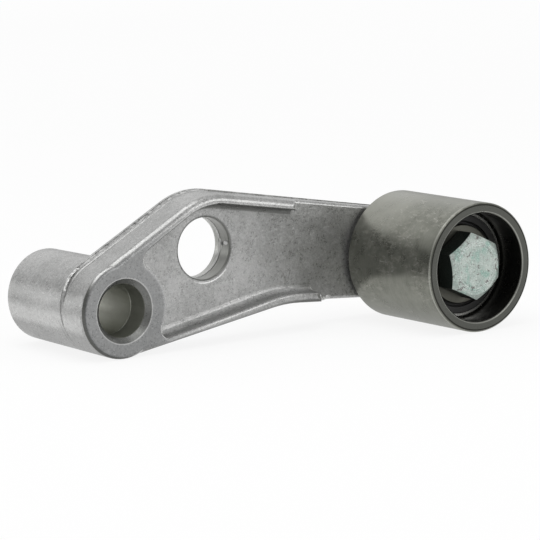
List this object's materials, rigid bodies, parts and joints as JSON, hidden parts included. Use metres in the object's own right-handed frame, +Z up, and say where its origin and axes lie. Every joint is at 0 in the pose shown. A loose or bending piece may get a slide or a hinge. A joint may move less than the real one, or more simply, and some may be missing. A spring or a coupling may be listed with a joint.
{
  "type": "timing belt idler pulley",
  "caption": "Wide steel idler roller on a sealed bearing, bolted to a rimmed cast aluminium lever that swings on a long pivot boss.",
  "frame": {"origin": "where the pivot axis meets the flat back of the lever's plate, which is the casting's parting plane", "axes": "+X from the pivot to the roller, +Y along the pivot boss to its rear end (the roller stands towards -Y), +Z up as in the picture"},
  "size_m": [0.1307, 0.0741, 0.0429],
  "materials": {
    "cast_aluminium": "die-cast, matt and slightly rough, machined in its bores",
    "bush_steel": "fine bored",
    "ground_steel": "ground, dark, satin",
    "bearing_steel": "ground",
    "seal_rubber": "moulded, satin",
    "cage_nylon": "moulded",
    "ball_steel": "polished",
    "sleeve_steel": "turned, dark",
    "coated_bolt": "flake-coated, matt"
  },
  "bodies": {
    "lever": {"lever_arm": "cast_aluminium", "pivot_bush": "bush_steel", "bearing_inner_ring": "bearing_steel", "clamp_sleeve": "sleeve_steel", "roller_bolt": "coated_bolt"},
    "roller": {"roller_shell": "ground_steel", "bearing_outer_ring": "bearing_steel", "front_seal": "seal_rubber", "rear_seal": "seal_rubber"},
    "front_cage_set": {"front_cage": "cage_nylon", "front_ball_1": "ball_steel", "front_ball_2": "ball_steel", "front_ball_3": "ball_steel", "front_ball_4": "ball_steel", "front_ball_5": "ball_steel", "front_ball_6": "ball_steel", "front_ball_7": "ball_steel", "front_ball_8": "ball_steel", "front_ball_9": "ball_steel"},
    "rear_cage_set": {"rear_cage": "cage_nylon", "rear_ball_1": "ball_steel", "rear_ball_2": "ball_steel", "rear_ball_3": "ball_steel", "rear_ball_4": "ball_steel", "rear_ball_5": "ball_steel", "rear_ball_6": "ball_steel", "rear_ball_7": "ball_steel", "rear_ball_8": "ball_steel", "rear_ball_9": "ball_steel"}
  },
  "joints": [
    {"name": "roller_spin", "type": "hinge", "parent": "lever", "child": "roller", "pos_m": [0.0987, 0, 0.00515], "axis": [0, 1, 0], "continuous": true},
    {"name": "front_cage_spin", "type": "hinge", "parent": "lever", "child": "front_cage_set", "pos_m": [0.0987, 0, 0.00515], "axis": [0, 1, 0], "continuous": true},
    {"name": "rear_cage_spin", "type": "hinge", "parent": "lever", "child": "rear_cage_set", "pos_m": [0.0987, 0, 0.00515], "axis": [0, 1, 0], "continuous": true}
  ],
  "couplings": [
    {"joint": "front_cage_spin", "follows": "roller_spin", "ratio": 0.603},
    {"joint": "rear_cage_spin", "follows": "roller_spin", "ratio": 0.603}
  ]
}
